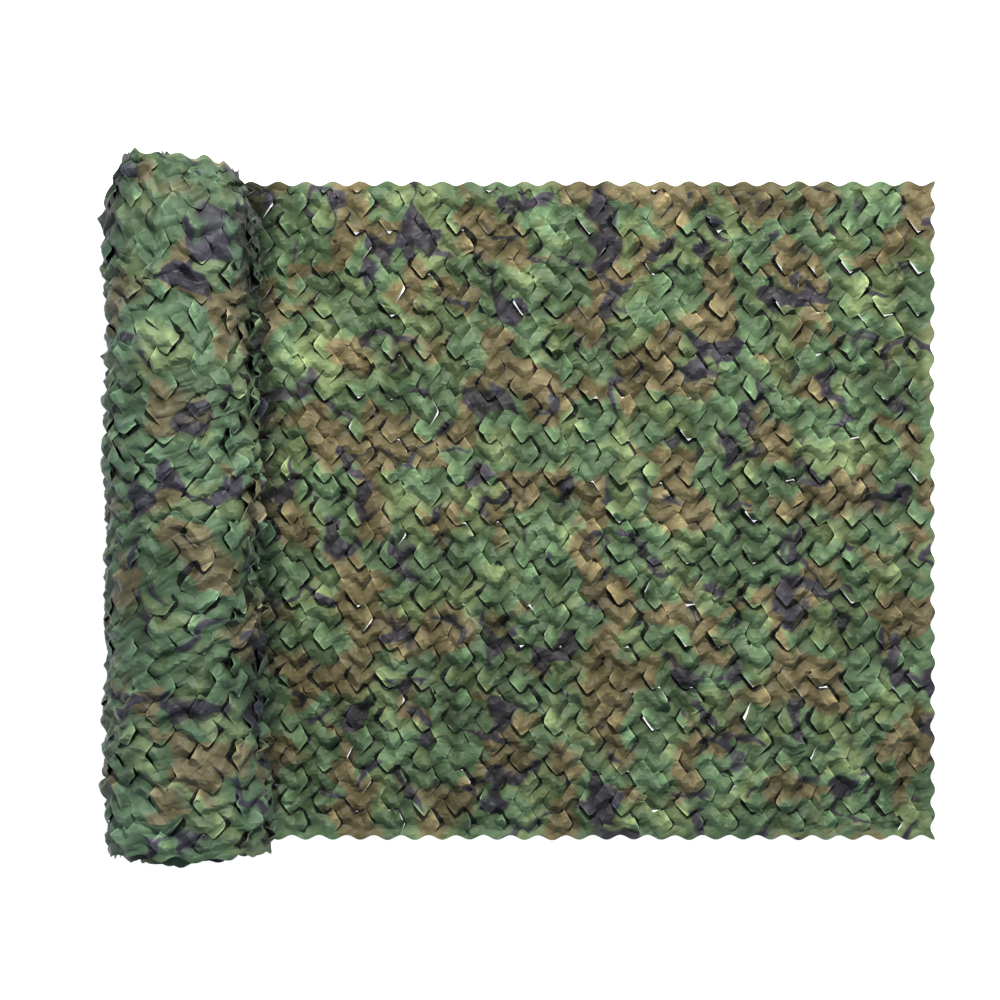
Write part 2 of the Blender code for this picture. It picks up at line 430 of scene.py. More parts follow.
class Drawing:
    """A stretch of the cloth drawn flat. x falls along the wound cloth, y runs across the net."""

    def __init__(self, x_low, x_high, y_low, y_high, wavy_sides):
        self.x_low, self.x_high, self.y_low, self.y_high = x_low, x_high, y_low, y_high
        self.wavy_sides = wavy_sides

    def inset(self, x, y):
        """How far inside the part where slits may run points are: negative outside of it."""
        room = {side: EDGE_BAND if side in self.wavy_sides else PLAIN_MARGIN
                for side in ("low", "high", "left", "right")}
        return np.minimum.reduce([
            x - self.x_low - room["left"], self.x_high - room["right"] - x,
            y - self.y_low - room["low"], self.y_high - room["high"] - y])

    def outline(self):
        """Points round the stretch, counter-clockwise, its wavy sides scalloped."""
        corners = [(self.x_low, self.y_low), (self.x_high, self.y_low),
                   (self.x_high, self.y_high), (self.x_low, self.y_high)]
        inward = [(0, 1), (-1, 0), (0, -1), (1, 0)]
        points = []
        for index, side in enumerate(("low", "right", "high", "left")):
            start, end = np.array(corners[index]), np.array(corners[(index + 1) % 4])
            length = float(np.linalg.norm(end - start))
            count = round(length / EDGE_STEP)
            place = start + (end - start) * (np.arange(count) / count)[:, None]
            if side in self.wavy_sides:
                pitch = END_EDGE_SCALLOP if side == "right" else LONG_EDGE_SCALLOP
                run = place[:, 1] - self.y_low if side == "right" else RIGHT_X - place[:, 0]
                depth = SCALLOP_DEPTH * (0.5 - 0.5 * np.cos(2 * math.pi * run / pitch))
                place = place + np.array(inward[index]) * depth[:, None]
            points.append(place)
        return np.concatenate(points)

    def slits(self):
        """Every slit of the lattice, cut off where it leaves the part where slits may run."""
        columns = range(math.floor((LATTICE_X - self.x_high) / COLUMN_PITCH) - 1,
                        math.ceil((LATTICE_X - self.x_low) / COLUMN_PITCH) + 2)
        rows = range(-1, math.ceil((LATTICE_Y - self.y_low) / ROW_PITCH) + 1)
        for column in columns:
            for row in rows:
                path = SLIT + (LATTICE_X - column * COLUMN_PITCH, LATTICE_Y - row * ROW_PITCH)
                inside = self.inset(path[:, 0], path[:, 1]) > 0
                run = []
                for point, keep in zip(path, inside):
                    if keep:
                        run.append(point)
                        continue
                    if len(run) >= SHORTEST_SLIT_POINTS:
                        yield np.array(run)
                    run = []
                if len(run) >= SHORTEST_SLIT_POINTS:
                    yield np.array(run)

    def grid(self, step):
        """Points of a triangular grid over the stretch, each a little off its place."""
        chance = np.random.default_rng(GRID_SEED)
        row_step = step * math.sqrt(0.75)
        for row in range(int((self.y_high - self.y_low) / row_step)):
            y = self.y_low + (row + 0.5) * row_step
            x = np.arange(self.x_low + step * (GRID_START + 0.5 * (row % 2)), self.x_high, step)
            spread = chance.uniform(-GRID_JITTER, GRID_JITTER, (len(x), 2)) * step
            for px, (dx, dy) in zip(x, spread):
                yield px + dx, y + dy

    def triangulate(self, grid_step, with_slits=True):
        """Points, triangles and a spot just inside each point's own side, opened along the slits."""
        outline = self.outline()
        places = [Vector(point) for point in outline]
        edges = [(k, (k + 1) % len(outline)) for k in range(len(outline))]
        runs = {}
        guides = []
        for run in (self.slits() if with_slits else ()):
            first = len(places)
            places += [Vector(point) for point in run]
            edges += [(first + k, first + k + 1) for k in range(len(run) - 1)]
            for k in range(1, len(run) - 1):
                runs[first + k] = (run[k - 1], run[k], run[k + 1])
                ahead = run[k + 1] - run[k - 1]
                across = np.array((-ahead[1], ahead[0])) / np.linalg.norm(ahead)
                if k % 2:
                    guides += [run[k] + across * GUIDE_OFFSET, run[k] - across * GUIDE_OFFSET]
        near = KDTree(len(places) + len(guides))
        for index, place in enumerate((*places, *guides)):
            near.insert((*place, 0), index)
        near.balance()
        kept = [Vector(guide) for guide in guides if self.inset(*guide) > 0]
        kept += [Vector(place) for place in self.grid(grid_step)
                 if near.find((*place, 0))[2] > grid_step * LEAST_SPACING]
        boundary = [list(range(len(outline)))]
        inside_only = 1
        points, _, triangles, sources, _, _ = delaunay_2d_cdt(
            places + kept, edges, boundary, inside_only, MERGE_DISTANCE)
        return open_slits(np.array(points), np.array(triangles), sources, runs)


def open_slits(points, triangles, sources, runs):
    """Give each inner point of a slit a second copy for the triangles on its right."""
    centers = points[triangles].mean(axis=1)
    slit_point = {index: runs[given] for index, source in enumerate(sources)
                  for given in source if given in runs}
    right_copy = {}
    extra = []
    triangles = triangles.copy()
    on_slit = np.isin(triangles, list(slit_point))
    full = 2 * math.pi
    for face, corner in zip(*np.nonzero(on_slit)):
        index = int(triangles[face, corner])
        before, here, after = slit_point[index]
        ahead = math.atan2(after[1] - here[1], after[0] - here[0])
        back = math.atan2(before[1] - here[1], before[0] - here[0])
        look = math.atan2(centers[face, 1] - here[1], centers[face, 0] - here[0])
        if (look - ahead) % full >= (back - ahead) % full:
            if index not in right_copy:
                right_copy[index] = len(points) + len(extra)
                extra.append(points[index])
            triangles[face, corner] = right_copy[index]
    if extra:
        points = np.concatenate([points, np.array(extra)])
    total = np.zeros_like(points)
    count = np.zeros(len(points))
    for corner in range(3):
        np.add.at(total, triangles[:, corner], centers)
        np.add.at(count, triangles[:, corner], 1)
    spots = points + (total / count[:, None] - points) * SPOT_SHARE
    return points, triangles, spots


# ---- relief of the leaves

class Relief:
    """How the leaves stand, drawn once for the whole lattice: lift, push, twist and curl of each."""

    def __init__(self, seed, lift, spread, under_share, open_share, push, opening, most_back,
                 twist, curl, gap, shingle, fold):
        chance = np.random.default_rng(seed)
        shape = (LATTICE_COLUMNS, LATTICE_ROWS, 2)
        least, most = LIFT_RANGE
        self.lift = np.clip(chance.normal(lift, spread, shape), least * lift, most * lift)
        under = chance.random(shape) < under_share
        self.lift[under] = -UNDER_DEPTH
        self.push = chance.uniform(-1.0, 1.0, shape) * push
        opened = (chance.random(shape) < open_share) & ~under
        self.push[opened] = -chance.uniform(LEAST_OPENING, 1.0, shape)[opened] * opening
        self.most_back = most_back
        self.slide = chance.normal(OVERLAP_SLIDE, SLIDE_SPREAD * OVERLAP_SLIDE, shape)
        parted = chance.random(shape) < PARTED_SHARE
        self.slide[parted] = -chance.uniform(LEAST_PARTING, 1.0, shape)[parted] * PARTED_SLIDE
        self.twist = chance.normal(0.0, twist, shape)
        self.curl = chance.normal(0.0, curl, shape)
        self.bend = chance.uniform(*BEND_RANGE, shape)
        # Width of the painted shade in the gaps beside each leaf.
        self.gap = gap * (LEAST_GAP_SHADE + GAP_SHADE_SPREAD * chance.random(shape) ** 2)
        # Random painted light and shade of each leaf, standing in for its tilt.
        self.tone = chance.uniform(-1.0, 1.0, shape)
        self.print = chance.uniform(-PRINT_SHIFT, PRINT_SHIFT, (*shape, 2))
        self.twist += np.array((shingle, -shingle))
        self.fold = chance.normal(fold, FOLD_SPREAD * fold, shape)
        self.fold_angle = chance.normal(FOLD_ANGLE, FOLD_ANGLE_SPREAD, shape)

    def at(self, points, spots, taper):
        """Shift and height of the points, their painted shade and painted highlights, and where the print
        lies on them.
        """
        x, y = points.T
        count = len(points)
        marks = {"shift": np.zeros((count, 2)), "height": np.zeros(count), "gap": np.full(count, -1.0),
                 "rim": np.zeros(count), "tone": np.zeros(count), "print": points.copy()}
        column_here = np.floor((LATTICE_X - x) / COLUMN_PITCH).astype(int)
        row_here = np.floor((LATTICE_Y - y) / ROW_PITCH).astype(int)
        for step_x, step_y in np.ndindex(3, 3):
            column, row = column_here + step_x, row_here + step_y - 1
            bend = np.stack([LATTICE_X - column * COLUMN_PITCH, LATTICE_Y - row * ROW_PITCH], axis=1)
            offset = points - bend
            here = np.nonzero(((offset > SLIT_REACH[0]) & (offset < SLIT_REACH[1])).all(axis=1))[0]
            if not len(here):
                continue
            place = offset[here]
            spot = spots[here] - bend[here]
            column, row = column[here] % LATTICE_COLUMNS, row[here] % LATTICE_ROWS
            for hand, tongue in enumerate((LEFT_TONGUE, RIGHT_TONGUE)):
                self.add_tongue(tongue, (column, row, hand), place, spot, here, taper[here], marks)
        return marks

    def add_tongue(self, tongue, cell, place, spot, here, taper, marks):
        """Lift one tongue of every slit, tuck the cloth round it under, and mark the painted shade in the
        gaps beside it, the painted highlight on its edge and its own painted shade.
        """
        lift = self.lift[cell]
        over = lift > 0
        inside = tongue.holds(*spot.T)
        share = tongue.share(*place.T)
        weight = np.where(inside, share ** self.bend[cell], 0.0) * taper
        side = tongue.side(*place.T)
        bow = (side / CURL_HALF_WIDTH) ** 2 - CURL_BALANCE
        off_fold = np.abs((place[:, 1] - tongue.center[1]) * np.cos(self.fold_angle[cell])
                          - (place[:, 0] - tongue.center[0]) * np.sin(self.fold_angle[cell]))
        rise_here = weight * (lift + self.twist[cell] * side + self.curl[cell] * bow
                              + self.fold[cell] * (FOLD_REACH - off_fold))
        drawn_back = DRAW_BACK * rise_here ** 2 / (2 * tongue.reach * np.maximum(share, LEAST_SHARE))
        marks["height"][here] += rise_here
        _, edge_share, inward = tongue.edge(*spot.T)
        away = tongue.edge(*place.T)[0]
        strength = edge_share * taper
        near = np.exp(-away / DIP_WIDTH) * np.sqrt(strength)
        dip = DIP_DEPTH * (1 + DIP_TILT * inward[:, 1]) * near
        marks["height"][here] += np.where(inside, 0.0, np.where(over, -dip, dip))
        tucked = TUCK * near * np.sqrt(strength)
        back = np.maximum(weight * self.push[cell] - drawn_back, -self.most_back * weight)
        for axis in (0, 1):
            move = back * tongue.normal[axis] + weight * self.slide[cell] * tongue.along[axis]
            marks["shift"][here, axis] += np.where(inside, move, tucked * inward[:, axis])
            marks["print"][here, axis] += weight * self.print[(*cell, axis)]
        # Painted shade in the gaps on the hidden side of each free edge, and a painted highlight on the
        # raised side.
        hidden = inside != over
        tip_back = DRAW_BACK * lift ** 2 / (2 * tongue.reach) - self.push[cell]
        tip_back = edge_share * np.minimum(tip_back, self.most_back)
        width = self.gap[cell] * strength ** GAP_SHADE_TAPER - np.where(inside, 0.0, tip_back)
        gap = np.clip((width - away + np.where(inside, 0.0, tucked)) / GAP_SHADE_UNIT, -1.0, 1.0)
        marks["gap"][here] = np.maximum(marks["gap"][here], np.where(hidden, gap, -1.0))
        # Painted highlight along the raised side of each free edge.
        marks["rim"][here] += np.where(~hidden, np.exp(-away / RIM_HIGHLIGHT_WIDTH) * strength, 0.0)
        # Painted light and shade of the leaf, growing from its root.
        tone = self.tone[cell] * np.clip(share / LEAF_SHADE_RUN_IN, 0, 1) * taper
        marks["tone"][here] += np.where(inside, tone, 0.0)


FLAT_RELIEF = Relief(
    seed=7, lift=0.0105, spread=0.0070, under_share=0.30, open_share=0.065, push=0.0020, opening=0.0085,
    most_back=0.0078, twist=0.38, curl=0.0045, gap=0.0052, shingle=0.19, fold=0.72)
WOUND_RELIEF = Relief(
    seed=8, lift=0.0058, spread=0.0045, under_share=0.26, open_share=0.12, push=0.0030, opening=0.0070,
    most_back=0.0080, twist=0.28, curl=0.0035, gap=0.0043, shingle=0.25, fold=0.50)
INNER_RELIEF = Relief(
    seed=9, lift=0.0050, spread=0.0030, under_share=0.45, open_share=0.20, push=0.0030, opening=0.0060,
    most_back=0.0100, twist=0.12, curl=0.0010, gap=0.0040, shingle=0.0, fold=0.10)


# ---- where the cloth goes

def ribbon(x, y):
    """Zigzag wave of the strips between the slits, from -1 to 1, two strips to a row."""
    part = (LATTICE_X - x) / COLUMN_PITCH
    zigzag = RIBBON_ZIGZAG * (4 * np.abs(part - np.floor(part) - 0.5) - 1)
    return np.cos(4 * math.pi * (LATTICE_Y - y + zigzag) / ROW_PITCH)


def fold_ridges(x):
    """Height of the faint folds across the loose end."""
    return sum(height * (1 - rise(np.abs(x - middle), 0.0, width))
               for middle, height, width in FOLD_RIDGES)


def painted_height_shade(height, waves, wave_share, middle, span, most):
    """Painted shade on low cloth and painted light on high cloth, from -1 to most."""
    return np.clip((wave_share * waves + height - middle) / span, -1.0, most)


def leaf_light(height, raised):
    """Share of the shade that is left on leaves that stand up into the light."""
    return 1 - LEAF_LIGHT * np.clip(height / raised, 0.0, 1.0)


def lay_flat(drawing, points, spots):
    """The loose end on the ground: the places of its points, and their marks."""
    x, y = points.T
    taper = rise(drawing.inset(x, y), 0.0, RELIEF_RUN_IN)
    loose = rise(x, *LAID_FROM_X)
    marks = FLAT_RELIEF.at(points, spots, taper * loose)
    edge = np.minimum(NET_WIDTH / 2 - np.abs(y), RIGHT_X - x)
    free = rise(edge, 0.0, LAID_EDGE_HOLD)
    shift_x = marks["shift"][:, 0] + free * layered(x, y, LAID_DRIFT_X)
    shift_y = marks["shift"][:, 1] + free * layered(x, y, LAID_DRIFT_Y)
    inner = rise(edge, 0.0, CRUMPLE_RUN_IN)
    waves = layered(x, y, LAID_WAVES) + inner * crumple(x, y, *LAID_CRUMPLE)
    waves += LAID_RIBBON * ribbon(x, y) * rise(edge, 0.0, RIBBON_RUN_IN)
    waves += (1 - inner) * layered(x, y, LAID_EDGE_WAVES)
    # Painted shade on low cloth and painted light on high cloth.
    marks["tone"] += painted_height_shade(marks["height"], waves, **LAID_HEIGHT_SHADE) * taper
    # Painted shade along each faint fold.
    for middle, _, _ in FOLD_RIDGES:
        marks["tone"] -= FOLD_SHADE * np.exp(-((x - middle) / FOLD_SHADE_WIDTH) ** 2)
    # Painted shade in the crease beside the roll, less of it on raised leaves.
    crease = 1 - rise(x, *CREASE_SHADE_X)
    marks["depth"] = CREASE_PAINTED_SHADE * leaf_light(marks["height"], LAID_RAISED) * crease
    marks["wound"] = np.zeros(len(points))
    marks["crease"] = points
    z = GROUND_CLEARANCE + (REST_HEIGHT + fold_ridges(x) + waves + marks["height"]) * loose
    return np.stack([x + shift_x, y + shift_y, np.maximum(z, GROUND_CLEARANCE)], axis=1), marks


def wound_run(x):
    """How far along the coil a point of the drawing lies: winding has drawn the cloth out."""
    return (FOOT_LEFT_X - x) * WOUND_STRETCH


class Winding:
    """The coil of the wound cloth, seen from -Y. From the foot it climbs the left side, goes over
    the top and comes down on the right, and each turn lies inside the last."""

    def __init__(self):
        self.angle = FOOT_ANGLE - np.linspace(0.0, 2 * math.pi * COIL_TURNS, COIL_POINTS)
        x, z = self.section(self.angle, np.zeros(COIL_POINTS))
        self.run = np.concatenate([[0.0], np.cumsum(np.hypot(np.diff(x), np.diff(z)))])

    @staticmethod
    def section(angle, y):
        """Point of the coil at an angle, at a place along the roll."""
        width = np.interp(y, ROLL_Y, ROLL_WIDTHS)
        height = np.interp(y, ROLL_Y, ROLL_HEIGHTS)
        end = rise(np.abs(y), *END_ROUNDING_Y) * np.where(y > 0, END_ROUNDING[1], END_ROUNDING[0])
        tightness = 1 - (FOOT_ANGLE - angle) / (2 * math.pi) * TURN_PITCH / (ROLL_WIDTHS[2] / 2)
        power = 2 / ROLL_SQUARENESS
        cos, sin = np.cos(angle), np.sin(angle)
        full = height / (1 - ROLL_SHARE_CUT_FLAT)
        center_z = height - full / 2
        x = np.sign(cos) * np.abs(cos) ** power * width / 2 * (1 - end)
        z = np.sign(sin) * np.abs(sin) ** power * full / 2 * (1 - 0.5 * end)
        z = softly_above(z, -center_z, FOOT_SOFTNESS)
        return ROLL_LEFT_X + width / 2 + x * tightness, ROLL_FOOT_Z + center_z + z * tightness

    def place(self, x, y, height):
        """World places of points whose flat drawing lies at x and y, raised outwards by height."""
        run = wound_run(x)
        angle = np.interp(run, self.run, self.angle)
        here_x, here_z = self.section(angle, y)
        next_x, next_z = self.section(angle - COIL_ANGLE_STEP, y)
        length = np.hypot(next_x - here_x, next_z - here_z)
        out_x, out_z = -(next_z - here_z) / length, (next_x - here_x) / length
        before = run < 0
        here_x = np.where(before, here_x - run, here_x)
        out_x, out_z = np.where(before, 0.0, out_x), np.where(before, 1.0, out_z)
        spread = np.where(y > 0, END_SPREAD[1] - END_SLANT[1] * np.cos(angle),
                          END_SPREAD[0] - END_SLANT[0] * np.cos(angle))
        spread += layered(run, np.sign(y), WOUND_END_SHIFT)
        ends = np.sign(y) * rise(np.abs(y), END_SPREAD_FROM_Y, NET_WIDTH / 2) * spread
        z = np.maximum(here_z + out_z * height, GROUND_CLEARANCE)
        return np.stack([here_x + out_x * height, y + ends, z], axis=1), out_z


WINDING = Winding()


def close_crease(relief):
    """Keep the slits shut where the loose end runs into the crease beside the roll."""
    first = math.floor((LATTICE_X - ROLL_RIGHT_X) / COLUMN_PITCH) - 1
    relief.slide[first:] = OVERLAP_SLIDE
    relief.push[first:] = np.maximum(relief.push[first:], 0.0)


close_crease(FLAT_RELIEF)


def open_side(relief):
    """Let more leaves of the roll's right side hang open."""
    first, last = np.interp(-np.array(OPEN_ANGLES), -WINDING.angle, WINDING.run) / WOUND_STRETCH
    columns = np.arange(math.floor((LATTICE_X - FOOT_LEFT_X + first) / COLUMN_PITCH),
                        math.ceil((LATTICE_X - FOOT_LEFT_X + last) / COLUMN_PITCH) + 1)
    chance = np.random.default_rng(OPEN_SEED)
    shape = relief.push[columns].shape
    opened = (chance.random(shape) < OPEN_SIDE_SHARE) & (relief.lift[columns] > 0)
    relief.push[columns] = np.where(opened, -chance.uniform(*OPEN_PUSH, shape), relief.push[columns])
    relief.lift[columns] = np.where(opened, relief.lift[columns] * OPEN_LIFT, relief.lift[columns])


open_side(WOUND_RELIEF)


def gathers(x, y):
    """Rounded ridges between sharp valleys, slanting over the roll."""
    along = (x + layered(x, y, GATHER_DRIFT)) * GATHER_SHORTENING
    valleys = np.abs(smooth_noise(along, y + GATHER_SLANT * x, *GATHER_NOISE))
    return GATHER * (GATHER_BALANCE - valleys)


def roll_shade(x, y, out_z, right):
    """How much shade the roll's sides, its underside and its far end lie in."""
    slope = 1 - np.maximum(out_z, 0.0) ** 2
    past = np.clip((slope - RIGHT_SHADE_SLOPE) / (1 - RIGHT_SHADE_SLOPE), 0.0, 1.0)
    shade = np.where(right, RIGHT_SHADE * past, LEFT_SHADE * slope) + UNDER_SHADE * rise(-out_z, 0.0, 0.5)
    shade = shade * (1 + FAR_END_SHADE * rise(y, *FAR_END_Y))
    return shade * (1 + layered(x, y, SHADE_UNEVENNESS))


def wind_up(drawing, points, spots, relief, lumps):
    """A stretch of the wound cloth: the places of its points, and their marks."""
    x, y = points.T
    run = wound_run(x)
    _, out_z = WINDING.place(x, y, np.zeros_like(x))
    under = (1 - UNDERSIDE_FLATTENING * rise(-out_z, *UNDERSIDE)) * rise(run, 0.0, FOOT_RUN_IN)
    taper = rise(drawing.inset(x, y), 0.0, RELIEF_RUN_IN) * under
    right = np.cos(np.interp(run, WINDING.run, WINDING.angle)) > 0
    sideways = 1 - np.abs(out_z)
    side_lift = np.where(right, RIGHT_SIDE_LIFT, LEFT_SIDE_LIFT) * sideways
    marks = relief.at(points, spots, taper * (1 + side_lift))
    flare = rise(np.abs(y), NET_WIDTH / 2 - END_FLARE, NET_WIDTH / 2)
    bumps = layered(x, y, WOUND_WAVES) + crumple(x, y, *WOUND_CRUMPLE) * taper
    bumps += WOUND_RIBBON * (1 + SIDE_BULGE * sideways) * ribbon(x, y) * taper
    bumps += gathers(x, y) * taper + flare * crumple(x, y, *END_RAGGED_OUT)
    # Painted shade on low cloth and painted light on high cloth.
    marks["tone"] += painted_height_shade(marks["height"], bumps, **WOUND_HEIGHT_SHADE) * taper
    # Painted shade on the roll's sides, under it and at its far end.
    marks["depth"] = roll_shade(x, y, out_z, right) * leaf_light(marks["height"], WOUND_RAISED)
    marks["wound"] = np.ones(len(points))
    marks["crease"] = points * (-1, 1)
    height = marks["height"] + bumps * lumps * under
    if relief is WOUND_RELIEF:
        height = softly_above(height, OUTER_LOWEST, REST_SOFTNESS)
    else:
        height = np.minimum(height, INNER_HIGHEST)
    inner = rise(NET_WIDTH / 2 - np.abs(y), 0.0, END_DRIFT_HOLD)
    moved_x = x + marks["shift"][:, 0] + layered(x, y, WOUND_DRIFT_X) * taper
    moved_y = y + marks["shift"][:, 1] + layered(x, y, WOUND_DRIFT_Y) * inner
    moved_y += flare * crumple(x, y, *END_RAGGED_ALONG)
    places, _ = WINDING.place(moved_x, moved_y, height)
    return places, marks


# ---- meshes

def vertex_normals(places, triangles):
    """Average direction of the faces round each point."""
    a, b, c = (places[triangles[:, k]] for k in range(3))
    face = np.cross(b - a, c - a)
    total = np.zeros_like(places)
    for corner in range(3):
        np.add.at(total, triangles[:, corner], face)
    return total / np.maximum(np.linalg.norm(total, axis=1), 1e-12)[:, None]


def thickened(triangles, places):
    """Points and faces of the closed thin sheet round a surface: its two sides and its rims."""
    count = len(places)
    offset = vertex_normals(places, triangles) * CLOTH_THICKNESS / 2
    sides = np.concatenate([triangles[:, [0, 1]], triangles[:, [1, 2]], triangles[:, [2, 0]]])
    key = sides[:, 0].astype(np.int64) * count + sides[:, 1]
    back_key = sides[:, 1].astype(np.int64) * count + sides[:, 0]
    start, end = sides[~np.isin(key, back_key)].T
    walls = np.concatenate([np.stack([start + count, end + count, end], axis=1),
                            np.stack([start + count, end, start], axis=1)])
    faces = np.concatenate([triangles, triangles[:, ::-1] + count, walls])
    return np.concatenate([places + offset, places - offset]), faces


def add_object(name, data):
    """A new object in the scene."""
    item = bpy.data.objects.new(name, data)
    bpy.context.scene.collection.objects.link(item)
    return item


def cloth_piece(name, triangles, places, marks, material):
    """A piece of cloth, with its flat drawing kept as a UV map for the print."""
    points, faces = thickened(triangles, places)
    mesh = bpy.data.meshes.new(name)
    mesh.vertices.add(len(points))
    mesh.vertices.foreach_set("co", points.astype(np.float32).ravel())
    mesh.loops.add(faces.size)
    mesh.loops.foreach_set("vertex_index", faces.astype(np.int32).ravel())
    mesh.polygons.add(len(faces))
    mesh.polygons.foreach_set("loop_start", np.arange(0, faces.size, 3, dtype=np.int32))
    mesh.polygons.foreach_set("loop_total", np.full(len(faces), 3, dtype=np.int32))
    mesh.update(calc_edges=True)
    mesh.validate()
    loops = np.empty(len(mesh.loops), dtype=np.int32)
    mesh.loops.foreach_get("vertex_index", loops)
    for label, mark in (("drawing", "print"), ("creases", "crease")):
        uv = mesh.uv_layers.new(name=label)
        uv.data.foreach_set("uv", marks[mark][loops % len(places)].astype(np.float32).ravel())
    # Painted shade in the gaps, painted highlights on leaf rims, painted leaf shade, painted shade in
    # deep places, and which cloth is wound.
    for label in ("gap", "rim", "tone", "depth", "wound"):
        layer = mesh.attributes.new(label, "FLOAT", "POINT")
        layer.data.foreach_set("value", np.tile(np.clip(marks[label], -1.0, 1.0), 2).astype(np.float32))
    mesh.shade_smooth()
    mesh.set_sharp_from_angle(angle=SHARP_ANGLE)
    mesh.materials.append(material)
    return add_object(name, mesh)


# ---- the printed cloth

def set_inputs(node, values):
    """Set inputs of a node that nothing is linked to."""
    for key, value in values.items():
        node.inputs[key].default_value = value


class Graph:
    """Short way to add and link the nodes of one material."""

    def __init__(self, name):
        self.material = bpy.data.materials.new(name)
        self.material.use_nodes = True
        self.tree = self.material.node_tree
        self.shader = self.tree.nodes["Principled BSDF"]

    def add(self, kind, **settings):
        node = self.tree.nodes.new(kind)
        for key, value in settings.items():
            setattr(node, key, value)
        return node

    def link(self, source, target):
        if isinstance(source, bpy.types.NodeSocket):
            self.tree.links.new(source, target)
        elif hasattr(target.default_value, "__len__"):
            target.default_value = tuple(source)
        else:
            target.default_value = source

    def math(self, operation, a, b=0.0, kind="ShaderNodeMath"):
        node = self.add(kind, operation=operation)
        self.link(a, node.inputs[0])
        self.link(b, node.inputs[1])
        return node.outputs[0]

    def vector(self, operation, a, b):
        return self.math(operation, a, b, "ShaderNodeVectorMath")

    def plus(self, a, b):
        return self.math("ADD", a, b)

    def times(self, a, b):
        return self.math("MULTIPLY", a, b)

    def noise(self, vector, scale, detail=2.0, roughness=0.5, distortion=0.0, color=False):
        node = self.add("ShaderNodeTexNoise")
        self.link(vector, node.inputs["Vector"])
        set_inputs(node, {"Scale": scale, "Detail": detail,
                          "Roughness": roughness, "Distortion": distortion})
        return node.outputs["Color" if color else "Fac"]

    def valleys(self, vector, scale, detail, distortion=0.0):
        """0 along the winding lines where the noise is at its middle, rising to both sides."""
        noise = self.noise(vector, scale, detail, distortion=distortion)
        return self.math("ABSOLUTE", self.math("SUBTRACT", noise, 0.5))

    def between(self, value, low, high, to_low=0.0, to_high=1.0):
        """Map low to high softly onto to_low to to_high."""
        node = self.add("ShaderNodeMapRange", interpolation_type="SMOOTHSTEP")
        for source, key in ((value, "Value"), (low, "From Min"), (high, "From Max"),
                            (to_low, "To Min"), (to_high, "To Max")):
            self.link(source, node.inputs[key])
        return node.outputs["Result"]

    def mix(self, share, a, b, blend="MIX"):
        node = self.add("ShaderNodeMix", data_type="RGBA", blend_type=blend)
        self.link(share, node.inputs["Factor"])
        self.link(a, node.inputs["A"])
        self.link(b, node.inputs["B"])
        return node.outputs["Result"]

    def attribute(self, name):
        return self.add("ShaderNodeAttribute", attribute_name=name).outputs["Fac"]

    def uv(self, name):
        return self.add("ShaderNodeUVMap", uv_map=name).outputs["UV"]


def print_colour(graph, drawing, wound):
    """Four-colour woodland print on the flat drawing: green ground, light green and brown fields,
    and dark twisted branches over them."""
    centre = (0.5, 0.5, 0.5)
    wobble = graph.vector("SUBTRACT", graph.noise(drawing, scale=13.0, detail=1.0, color=True), centre)
    place = graph.vector("ADD", drawing, graph.vector("MULTIPLY", wobble, (0.11, 0.11, 0.0)))

    def field(offset, scale, detail, low, soft):
        """Patches where the noise is above low, their edges soft by that much."""
        noise = graph.noise(graph.vector("ADD", place, offset), scale, detail)
        return graph.between(noise, low, graph.plus(low, soft))

    brown_low = graph.between(wound, 0.0, 1.0, 0.514, 0.545)
    light = field(offset=(3.1, 7.7, 0.0), scale=8.5, detail=1.5, low=0.500, soft=0.10)
    brown = field(offset=(11.3, 2.9, 0.0), scale=7.0, detail=1.5, low=brown_low, soft=0.055)
    gate = field(offset=(23.1, 5.9, 0.0), scale=9.0, detail=1.0, low=0.535, soft=0.045)
    branch_line = graph.valleys(graph.vector("ADD", place, (5.7, 17.3, 0.0)), scale=9.0, detail=1.0)
    branch = graph.between(branch_line, 0.038, 0.075, 1.0, 0.0)

    colour = graph.mix(light, GREEN, LIGHT_GREEN)
    colour = graph.mix(brown, colour, BROWN)
    return graph.mix(graph.times(branch, gate), colour, DARK)


